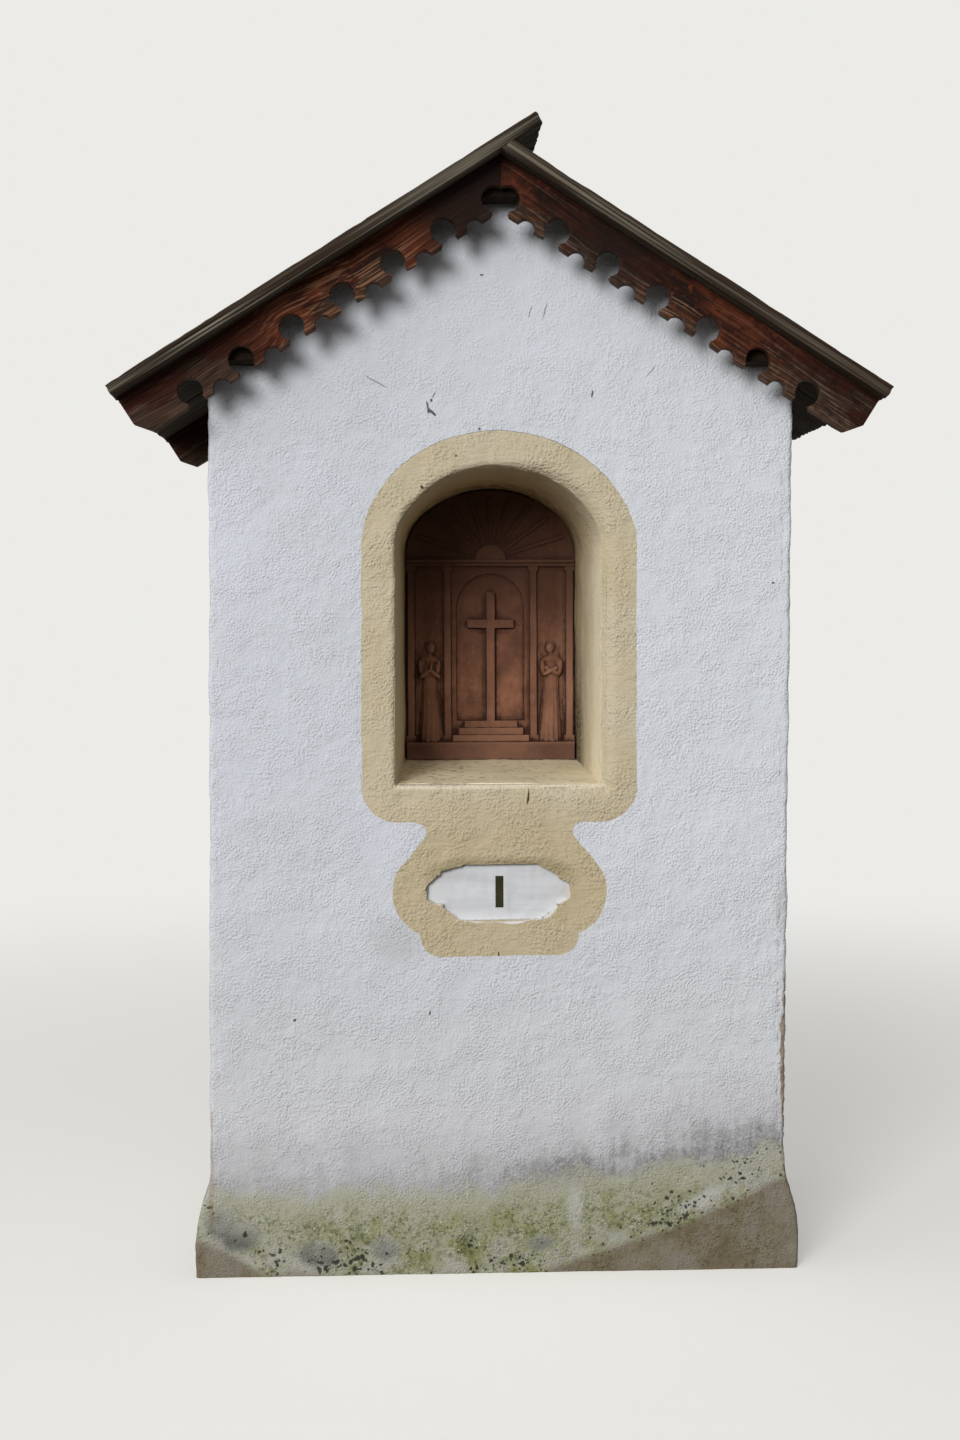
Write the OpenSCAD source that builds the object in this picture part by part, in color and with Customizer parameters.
// Wayside shrine: a rendered masonry pillar with an arched niche, a terracotta relief,
// a number plate and a boarded saddle roof with fretted bargeboards.
// Millimetres. X runs to the right along the front, Y runs from front to back, Z is up.
// The origin is at ground level in the middle of the plan.

/* [Wall] */
// Width of the wall over its render
wall_w = 1000; // [850:10:1250]
// Depth of the wall over its render
wall_d = 600; // [480:10:800]
// Height of the side walls from the lowest ground up to the roof boards
eave_h = 1590; // [1550:2:1910]
// Thickness of the render on every side
coat_t = 15; // [10:1:25]
// Height above the ground at which the side render starts to swell
foot_h = 190; // [175:5:300]
// How far the side render swells out at the ground
foot_out = 25; // [12:1:30]
// How much of the swelling is made by the hollow at its top
foot_cove = 8; // [3:1:10]
// Steepest lean of the swelling, in degrees from upright
foot_lean = 20; // [20:1:35]

/* [Niche] */
// Clear width of the niche between its front edges
niche_w = 355; // [290:1:430]
// Height of the sill's front edge above the ground
sill_z = 851; // [760:1:1025]
// Height of the jambs, from the sill's front edge to the springing of the arch
jamb_h = 409; // [340:1:495]
// Rise of the three-centred arch
niche_rise = 140; // [125:1:170]
// Radius of the arch's shoulders
niche_shoulder_r = 101; // [90:1:120]
// Radius of the arch's shoulders at the relief
relief_shoulder_r = 97; // [70:1:100]
// Depth from the wall's face to the ground of the relief
niche_depth = 300; // [200:5:360]
// How much each jamb closes in towards the relief
splay = 18; // [4:1:22]
// How much the crown of the arch comes down towards the relief
crown_drop = 20; // [0:1:40]
// How much the sill rises towards the relief
sill_rise = 26; // [5:1:40]
// Thickness of the render that lines the niche
lining_t = 18; // [12:1:25]

/* [Painted surround] */
// Width of the band beside the niche
band_side = 59; // [40:1:80]
// Width of the band over the crown of the niche
band_top = 60; // [45:1:80]
// Width of the band under the sill
band_below = 64; // [40:1:90]
// Radius of the band's outer shoulders
band_shoulder_r = 152; // [110:1:165]
// Radius of the band's lower corners
band_corner_r = 62; // [20:1:90]

/* [Label under the niche] */
// Distance from the sill's front edge down to the middle of the label
label_drop = 185; // [154:1:230]
// Radius of the two side lobes
lobe_r = 75; // [62:1:85]
// Distance of each lobe's centre from the middle
lobe_x = 110; // [95:1:132]
// Width of the neck between the band and the label
neck_w = 250; // [200:1:260]
// Radius of the rounded corner beside the neck
neck_r = 17; // [8:1:20]
// Width of the label's foot
label_foot_w = 272; // [240:1:300]
// Distance from the middle of the label down to its lower edge
label_foot_drop = 110; // [95:1:132]
// Radius of the foot's corners
label_foot_r = 36; // [20:1:45]

/* [Number plate] */
// Width of the plate between its cut corners
plate_w = 194; // [160:1:220]
// Height of the plate
plate_h = 101; // [84:1:120]
// Width taken off each corner
plate_cut_w = 31; // [15:1:40]
// Height taken off each corner
plate_cut_h = 26; // [15:1:34]
// Width of the plate over its two ears
ear_span = 246; // [215:1:270]
// Height of the ears
ear_h = 42; // [30:1:48]
// Radius of the ears' corners
ear_r = 9; // [4:1:14]
// Thickness of the plate, which leaves it behind the render's face
plate_t = 6; // [5:0.5:9]
// Width of the numeral's single stroke
stroke_w = 14; // [8:1:20]
// Height of the numeral's stroke
stroke_h = 55; // [35:1:70]
// Depth of the stroke's seat in the plate
stroke_seat = 4; // [3:0.5:4.5]
// Thickness of the stroke itself
stroke_t = 2.5; // [1:0.5:3]

/* [Relief] */
// Thickness of the fired slab behind its carving
slab_t = 22; // [15:1:35]
// Gap between the slab and the niche's render
slab_gap = 3; // [1:0.5:6]
// Height of the ledge at the slab's foot
ledge_h = 32; // [20:1:40]
// How far the ledge stands proud
ledge_proud = 13; // [11:1:16]
// Distance from the springing of the arch down to the cornice
cornice_drop = 22; // [15:1:60]
// Height of the cornice's lower fillet
cornice_low_h = 7; // [4:1:12]
// Height of the cornice's upper fillet
cornice_top_h = 5; // [3:1:10]
// How far the cornice stands proud
cornice_proud = 9; // [7:1:12]
// Number of steps under the cross
steps = 3; // [2:1:4]
// Height of one step
step_h = 13; // [9:1:16]
// Width of the lowest step
step_w = 142; // [120:1:160]
// Width that each further step loses on either side
step_tread = 11; // [6:1:14]
// How far each step lies behind the one below
step_back = 2.5; // [1:0.5:2.5]
// Width of the cross's shaft and arms
cross_w = 15; // [10:1:20]
// Length of the cross's arms from end to end
cross_arm = 86; // [60:1:100]
// Distance from the top of the cross down to its arms
cross_head = 51; // [35:1:65]
// Distance between the top of the cross and the crown of its recess
cross_clear = 34; // [15:1:60]
// Depth of the round-headed recess behind the cross
recess_depth = 4; // [2:0.5:6]
// Distance from the crown of the recess up to the cornice
recess_drop = 14; // [6:1:25]
// Width of the pilasters
pilaster_w = 12; // [8:1:15]
// How far the pilasters stand proud
pilaster_proud = 5; // [3:1:6]
// Radius of the rising sun over the cornice
sun_r = 28; // [20:1:34]
// Number of rays around the sun
rays = 9; // [5:2:13]
// Width of the plain rim outside the rays
relief_rim = 12; // [8:1:18]

/* [Roof] */
// Pitch of both slopes in degrees
pitch = 32.3; // [28:0.1:38]
// Thickness of the roof boards
board_t = 21; // [15:1:30]
// How far the boards reach past the side walls, measured level
eave_out = 139; // [100:1:180]
// How far the boards reach past the front and back walls
verge_out = 125; // [100:1:180]
// Number of boards on each slope
board_count = 5; // [3:1:7]
// Gap between neighbouring boards
board_gap = 2; // [1:0.5:4]
// Length by which the left-hand boards pass the ridge
ridge_lap = 79; // [35:1:110]

/* [Bargeboards] */
// Width of the bargeboards
barge_w = 78.5; // [72:0.5:95]
// Thickness of the bargeboards
barge_t = 24; // [15:1:30]
// Distance from the boards' front edge back to the bargeboard
barge_back = 44; // [20:1:60]
// Distance by which a bargeboard stops short of the roof boards' end
barge_short = 3; // [0:1:20]
// Radius of the drilled holes
hole_r = 21.4; // [16:0.1:24]
// Distance between the holes
hole_pitch = 99.4; // [90:0.1:119.5]
// Distance of the first hole from the ridge, along the slope
hole_first = 48.3; // [44:0.1:56]
// Distance of the holes' centres from the lower edge
hole_up = 22.7; // [21:0.1:27]
// Width of the sawn mouth under each hole
mouth_w = 28.6; // [20:0.1:34]
// Length of the blunt tooth below each hole
blunt_tooth = 22.6; // [16:0.1:26]
// Cut-off at the corner of the blunt tooth
tooth_cut = 4.5; // [2:0.1:7]
// Radius of the half-round notch between two teeth
notch_r = 15; // [10:0.1:16]
// Depth by which the notch's centre lies below the edge
notch_drop = 1; // [0.5:0.1:4]
// Plain length that is kept at the eaves' end
plain_end = 95; // [80:1:140]
// Length of the cut corner at the eaves' end
end_cut_u = 22; // [10:1:35]
// Height of the cut corner at the eaves' end
end_cut_v = 27; // [10:1:35]

/* [Purlins] */
// Width of the three purlins
purlin_w = 60; // [40:1:80]
// Depth of the ridge purlin below the ridge line
ridge_purlin_h = 66; // [55:1:90]
// Depth of the eaves purlins at their outer side
eave_purlin_h = 42; // [35:1:60]
// Distance from the wall's face to the eaves purlins' outer side
purlin_in = 32; // [27:1:80]

/* [Hidden] */
$fn = 72;
// Thin slice that a hull starts or ends with
slice = 0.01;
// Overshoot of a cut past the face that it opens
past = 5;

wall_front = -wall_d / 2;
wall_back = wall_d / 2;
core_half_w = wall_w / 2 - coat_t;
core_front = wall_front + coat_t;
core_back = wall_back - coat_t;
ridge_z = eave_h + wall_w / 2 * tan(pitch);

foot_cove_r = foot_cove / (1 - cos(foot_lean));
foot_round_r = (foot_out - foot_cove) / (1 - cos(foot_lean));
foot_low_z = foot_h - (foot_cove_r + foot_round_r) * sin(foot_lean);

spring_z = sill_z + jamb_h;
relief_y = wall_front + niche_depth;
slab_back = relief_y + slab_t;
pocket_back = slab_back + lining_t;
back_half_w = niche_w / 2 - splay;
back_sill_z = sill_z + sill_rise;
back_spring_z = spring_z + splay - crown_drop;
back_rise = niche_rise - splay;
sill_slope = sill_rise / niche_depth;
pocket_half_w = niche_w / 2 + lining_t;
pocket_floor_z = sill_z - lining_t;

band_half_w = niche_w / 2 + band_side;
band_bottom_z = sill_z - band_below;
label_z = sill_z - label_drop;
label_to_band = band_bottom_z - label_z;
neck_in = neck_w / 2 - lobe_x;
neck_room = label_to_band + lobe_r - neck_in;
// Largest corner that fits beside the neck, between the band and the lobe
neck_limit_r = neck_room - sqrt(neck_room * neck_room + lobe_r * lobe_r
                                - neck_in * neck_in - label_to_band * label_to_band);
neck_fit_r = min(neck_r, neck_limit_r - slice);
bump_x = neck_w / 2 + neck_fit_r;

slope_len = (wall_w / 2 + eave_out) / cos(pitch);
roof_front = wall_front - verge_out;
roof_back = wall_back + verge_out;
board_w = (roof_back - roof_front - (board_count - 1) * board_gap) / board_count;
barge_len = slope_len - barge_short;
barge_front = roof_front + barge_back;
hole_count = floor((barge_len - plain_end - hole_first) / hole_pitch) + 1;
purlin_front = barge_front + barge_t;
purlin_back = -purlin_front;
purlin_outer_x = wall_w / 2 - purlin_in;

slab_foot_z = back_sill_z;
slab_half_w = back_half_w - slab_gap;
ledge_top_z = slab_foot_z + ledge_h;
steps_top_z = ledge_top_z + steps * step_h;
cornice_z = back_spring_z - cornice_drop;
cornice_top_z = cornice_z + cornice_low_h + cornice_top_h;
recess_half_w = step_w / 2 - cross_w / 2;
recess_crown_z = cornice_z - recess_drop;
cross_top_z = recess_crown_z - cross_clear;

// Height of the roof boards' underside at a distance from the middle
function roof_z(x) = ridge_z - abs(x) * tan(pitch);

// Radius of the crown of a three-centred arch
function crown_r(half_w, rise, shoulder_r) =
    (half_w * half_w + rise * rise - 2 * half_w * shoulder_r) / (2 * (rise - shoulder_r));

// Point at a distance and an angle from a centre
function polar(centre, r, angle) = centre + r * [cos(angle), sin(angle)];

// Points along an arc, with both ends
function arc(centre, r, from, to, count) =
    [for (i = [0 : count]) polar(centre, r, from + (to - from) * i / count)];

// Stands a drawing of X and Z up between two depths
module elevation(front, back) {
    translate([0, back, 0])
        rotate([90, 0, 0])
            linear_extrude(height = back - front)
                children();
}

// Draws in the slope's own directions: X down the slope, -Y square to it. Side -1 is the left.
module on_slope(side) {
    mirror([side < 0 ? 1 : 0, 0])
        translate([0, ridge_z])
            rotate(-pitch)
                children();
}

// Opening with straight jambs under a three-centred arch
module arched_opening(half_w, bottom_z, top_z, rise, shoulder_r) {
    shoulder_x = half_w - shoulder_r;
    big_r = crown_r(half_w, rise, shoulder_r);
    crown_centre = [0, top_z + rise - big_r];
    turn = atan2(big_r - rise, shoulder_x);
    polygon(concat(
        [[-half_w, bottom_z], [half_w, bottom_z]],
        arc([shoulder_x, top_z], shoulder_r, 0, turn, 10),
        arc(crown_centre, big_r, turn, 180 - turn, 16),
        arc([-shoulder_x, top_z], shoulder_r, 180 - turn, 180, 10)
    ));
}

// Outline of the relief's slab, drawn in all round by a margin
module slab_outline(margin = 0) {
    arched_opening(slab_half_w - margin, slab_foot_z + margin, back_spring_z,
                   back_rise - slab_gap - margin, relief_shoulder_r - slab_gap - margin);
}

// Rectangle about a point, with round corners
module round_rect(w, h, r) {
    square([w - 2 * r, h], center = true);
    square([w, h - 2 * r], center = true);
    for (x = [-1, 1], y = [-1, 1])
        translate([x * (w / 2 - r), y * (h / 2 - r)]) circle(r = r);
}

// Front of the gabled pillar, for a given half width
module gable(half_w) {
    polygon([[-half_w, 0], [half_w, 0], [half_w, roof_z(half_w)],
             [0, ridge_z], [-half_w, roof_z(half_w)]]);
}

// Section of the ridge purlin; a seat for it opens above the roof line by the lift
module ridge_purlin_section(lift = 0) {
    half = purlin_w / 2;
    polygon([[-half, ridge_z - ridge_purlin_h], [half, ridge_z - ridge_purlin_h],
             [half, roof_z(half) + lift], [0, ridge_z + lift], [-half, roof_z(half) + lift]]);
}

// Section of an eaves purlin, with its top on the roof's slope
module eaves_purlin_section(side, lift = 0) {
    outer = purlin_outer_x;
    inner = purlin_outer_x - purlin_w;
    low = roof_z(outer) - eave_purlin_h;
    polygon([[side * inner, low], [side * outer, low],
             [side * outer, roof_z(outer) + lift], [side * inner, roof_z(inner) + lift]]);
}

// Seats of the three purlins, as cuts through the whole depth
module purlin_seats() {
    elevation(wall_front - past, wall_back + past) {
        ridge_purlin_section(past);
        for (side = [-1, 1])
            eaves_purlin_section(side, past);
    }
}

// Space inside the niche: it closes in from the wall's face to the relief
module niche_void() {
    hull() {
        elevation(wall_front - slice, wall_front)
            arched_opening(niche_w / 2, sill_z, spring_z, niche_rise, niche_shoulder_r);
        elevation(relief_y - slice, relief_y)
            arched_opening(back_half_w, back_sill_z, back_spring_z, back_rise, relief_shoulder_r);
    }
    elevation(relief_y - slice, slab_back)
        arched_opening(back_half_w, back_sill_z, back_spring_z, back_rise, relief_shoulder_r);
}

// Rough pocket in the masonry that takes the niche's render
module niche_pocket(front) {
    elevation(front, pocket_back)
        arched_opening(pocket_half_w, pocket_floor_z, spring_z,
                       niche_rise + lining_t, niche_shoulder_r + lining_t);
}

// Sloping bed under the niche, over the whole width of the pocket
module sill_bed() {
    rotate([90, 0, 90])
        translate([0, 0, -pocket_half_w])
            linear_extrude(height = 2 * pocket_half_w)
                polygon([[core_front, pocket_floor_z], [slab_back, pocket_floor_z],
                         [slab_back, back_sill_z], [relief_y, back_sill_z],
                         [core_front, sill_z + sill_slope * coat_t]]);
}

// Right half of the painted band and label, from the crown down to the middle of the foot
function surround_half() =
    let (
        rise = niche_rise + band_top,
        shoulder_x = band_half_w - band_shoulder_r,
        big_r = crown_r(band_half_w, rise, band_shoulder_r),
        crown_centre = [0, spring_z + rise - big_r],
        turn = atan2(big_r - rise, shoulder_x),
        corner = [band_half_w - band_corner_r, band_bottom_z + band_corner_r],
        bump = [bump_x, band_bottom_z - neck_fit_r],
        lobe = [lobe_x, label_z],
        reach = norm(bump - lobe),
        across = atan2(bump[1] - lobe[1], bump[0] - lobe[0]) - acos((lobe_r + neck_fit_r) / reach),
        foot = [label_foot_w / 2 - label_foot_r, label_z - label_foot_drop + label_foot_r],
        meet = -acos((label_foot_w / 2 - lobe_x) / lobe_r)
    )
    concat(
        arc(crown_centre, big_r, 90, turn, 10),
        arc([shoulder_x, spring_z], band_shoulder_r, turn, 0, 12),
        arc(corner, band_corner_r, 0, -90, 10),
        arc(bump, neck_fit_r, 90, across + 180, 6),
        arc(lobe, lobe_r, across, meet, 16),
        arc(foot, label_foot_r, 0, -90, 8)
    );

// Outline of the painted band and label, without the openings in it
module surround_outline() {
    half = surround_half();
    last = len(half) - 1;
    polygon(concat(half, [for (i = [0 : last - 1]) [-half[last - i][0], half[last - i][1]]]));
}

// Outline of the number plate: a rectangle with cut corners and two ears
module plate_outline() {
    half_w = plate_w / 2;
    half_h = plate_h / 2;
    translate([0, label_z]) {
        polygon([[half_w, half_h - plate_cut_h], [half_w - plate_cut_w, half_h],
                 [plate_cut_w - half_w, half_h], [-half_w, half_h - plate_cut_h],
                 [-half_w, plate_cut_h - half_h], [plate_cut_w - half_w, -half_h],
                 [half_w - plate_cut_w, -half_h], [half_w, plate_cut_h - half_h]]);
        round_rect(ear_span, ear_h, ear_r);
    }
}

module stroke_outline() {
    translate([0, label_z]) square([stroke_w, stroke_h], center = true);
}

module masonry_core() {
    color("tan")
        difference() {
            elevation(core_front, core_back) gable(core_half_w);
            niche_pocket(core_front - past);
            purlin_seats();
        }
}

module render_front() {
    color("white")
        difference() {
            elevation(wall_front, core_front)
                difference() {
                    gable(core_half_w);
                    surround_outline();
                }
            purlin_seats();
        }
}

module render_back() {
    color("white")
        difference() {
            elevation(core_back, wall_back) gable(core_half_w);
            purlin_seats();
        }
}

// Section of a side coat: a hollow and a round bring its foot out
module side_section() {
    outer = wall_w / 2;
    out_x = outer + foot_out;
    polygon(concat(
        [[core_half_w, roof_z(core_half_w)], [core_half_w, min(foot_low_z, 0) - past],
         [out_x, min(foot_low_z, 0) - past]],
        arc([out_x - foot_round_r, foot_low_z], foot_round_r, 0, foot_lean, 8),
        arc([outer + foot_cove_r, foot_h], foot_cove_r, 180 + foot_lean, 180, 6),
        [[outer, roof_z(outer)]]
    ));
}

module render_side(side) {
    color("white")
        elevation(wall_front, wall_back)
            mirror([side < 0 ? 1 : 0, 0])
                intersection() {
                    side_section();
                    square([wall_w, ridge_z]);
                }
}

module niche_surround() {
    color("burlywood")
        difference() {
            elevation(wall_front, core_front)
                difference() {
                    surround_outline();
                    plate_outline();
                }
            niche_void();
        }
}

module niche_lining() {
    color("burlywood")
        difference() {
            niche_pocket(core_front);
            niche_void();
            sill_bed();
        }
}

module niche_sill() {
    color("wheat") sill_bed();
}

// Shallow round-headed recess behind the cross
module relief_recess() {
    head_z = recess_crown_z - recess_half_w;
    translate([-recess_half_w, steps_top_z])
        square([2 * recess_half_w, head_z - steps_top_z]);
    translate([0, head_z]) circle(r = recess_half_w);
}

// Pilaster with a plain base and cap
module relief_pilaster(x) {
    base_h = 12;
    cap_h = 9;
    lip = 3;
    height = cornice_z - ledge_top_z;
    translate([x, ledge_top_z]) {
        translate([-pilaster_w / 2, 0]) square([pilaster_w, height]);
        translate([-pilaster_w / 2 - lip, 0]) square([pilaster_w + 2 * lip, base_h]);
        translate([-pilaster_w / 2 - lip, height - cap_h])
            square([pilaster_w + 2 * lip, cap_h]);
    }
}

// Plain cross on the steps
module relief_cross() {
    translate([-cross_w / 2, steps_top_z]) square([cross_w, cross_top_z - steps_top_z]);
    translate([-cross_arm / 2, cross_top_z - cross_head - cross_w])
        square([cross_arm, cross_w]);
}

// Tapering rays around the sun, clear of the slab's rim
module relief_rays() {
    inner_r = sun_r + 10;
    root_half = 2.2;
    tip_half = 4.5;
    far = 2 * slab_half_w;
    intersection() {
        slab_outline(relief_rim);
        for (i = [1 : rays])
            translate([0, cornice_top_z])
                rotate(180 * i / (rays + 1))
                    polygon([[inner_r, -root_half], [far, -tip_half],
                             [far, tip_half], [inner_r, root_half]]);
    }
}

// Rising sun that stands on the cornice
module relief_sun() {
    translate([0, cornice_top_z])
        intersection() {
            circle(r = sun_r);
            translate([-sun_r, 0]) square([2 * sun_r, sun_r]);
        }
}

// Band across the slab, cut off by the slab's own outline
module relief_band(z, h) {
    intersection() {
        slab_outline();
        translate([-slab_half_w, z]) square([2 * slab_half_w, h]);
    }
}

// Fired clay relief: an arched slab with a ledge, steps, cross, pilasters, cornice and rays
module relief_panel() {
    fillet = 3;
    ray_proud = 3;
    sun_proud = 7;
    edge_in = pilaster_w / 2 + 3;
    color("sienna") {
        difference() {
            elevation(relief_y, slab_back) slab_outline();
            elevation(relief_y - past, relief_y + recess_depth) relief_recess();
        }
        elevation(relief_y - ledge_proud, relief_y) relief_band(slab_foot_z, ledge_h);
        for (i = [0 : steps - 1])
            elevation(relief_y - ledge_proud + fillet + step_back * i, relief_y + recess_depth)
                translate([step_tread * i - step_w / 2, ledge_top_z + step_h * i])
                    square([step_w - 2 * step_tread * i, step_h]);
        elevation(relief_y - pilaster_proud, relief_y + recess_depth) relief_cross();
        elevation(relief_y - pilaster_proud, relief_y)
            for (side = [-1, 1]) {
                relief_pilaster(side * (step_w / 2 + edge_in));
                relief_pilaster(side * (slab_half_w - edge_in));
            }
        elevation(relief_y - cornice_proud + fillet, relief_y)
            relief_band(cornice_z, cornice_low_h);
        elevation(relief_y - cornice_proud, relief_y)
            relief_band(cornice_z + cornice_low_h, cornice_top_h);
        elevation(relief_y - ray_proud, relief_y) relief_rays();
        elevation(relief_y - sun_proud, relief_y) relief_sun();
    }
}

module number_plate() {
    plate_front = core_front - plate_t;
    color("white")
        difference() {
            elevation(plate_front, core_front) plate_outline();
            elevation(plate_front - past, plate_front + stroke_seat) stroke_outline();
        }
}

module numeral_stroke() {
    seat = core_front - plate_t + stroke_seat;
    color("darkolivegreen")
        elevation(seat - stroke_t, seat) stroke_outline();
}

module ridge_purlin() {
    color("peru") elevation(purlin_front, purlin_back) ridge_purlin_section();
}

module eaves_purlin(side) {
    color("peru") elevation(purlin_front, purlin_back) eaves_purlin_section(side);
}

// The left-hand boards run on past the ridge and the right-hand ones butt against them
module roof_board_outline(side) {
    lap_u = board_t / sin(2 * pitch);
    lap_top = [lap_u * cos(2 * pitch), lap_u * sin(2 * pitch)];
    on_slope(side)
        polygon(side < 0
            ? [[-ridge_lap, 0], [slope_len, 0], [slope_len, board_t], [-ridge_lap, board_t]]
            : [[0, 0], [slope_len, 0], [slope_len, board_t], lap_top]);
}

module roof_board(side, i) {
    front = roof_front + (i - 1) * (board_w + board_gap);
    color("darkgray") elevation(front, front + board_w) roof_board_outline(side);
}

// Everything that is drilled and sawn out of a bargeboard around one hole
module fret(u, last) {
    half = mouth_w / 2;
    edge = -barge_w;
    translate([u, edge + hole_up]) circle(r = hole_r);
    translate([u - half, edge - past]) square([mouth_w, hole_up + past]);
    polygon([[u + half, edge + tooth_cut], [u + half + tooth_cut, edge],
             [u + half + tooth_cut, edge - past], [u + half, edge - past]]);
    if (!last)
        translate([u + half + blunt_tooth + notch_r, edge - notch_drop]) circle(r = notch_r);
}

module bargeboard_outline(side) {
    on_slope(side)
        difference() {
            polygon([[0, 0], [barge_len, 0], [barge_len, end_cut_v - barge_w],
                     [barge_len - end_cut_u, -barge_w], [barge_w * tan(pitch), -barge_w]]);
            for (i = [1 : hole_count])
                fret(hole_first + (i - 1) * hole_pitch, i == hole_count);
        }
}

module bargeboard(side, front) {
    color("saddlebrown") elevation(front, front + barge_t) bargeboard_outline(side);
}

masonry_core();
render_front();
render_side(-1);  // render_left
render_side(1);  // render_right
render_back();
niche_surround();
niche_lining();
niche_sill();
relief_panel();
number_plate();
numeral_stroke();
ridge_purlin();
eaves_purlin(-1);  // eaves_purlin_left
eaves_purlin(1);  // eaves_purlin_right
for (i = [1 : board_count]) {
    roof_board(-1, i);
    roof_board(1, i);
}
bargeboard(-1, barge_front);  // bargeboard_front_left
bargeboard(1, barge_front);  // bargeboard_front_right
bargeboard(-1, -barge_front - barge_t);  // bargeboard_back_left
bargeboard(1, -barge_front - barge_t);  // bargeboard_back_right
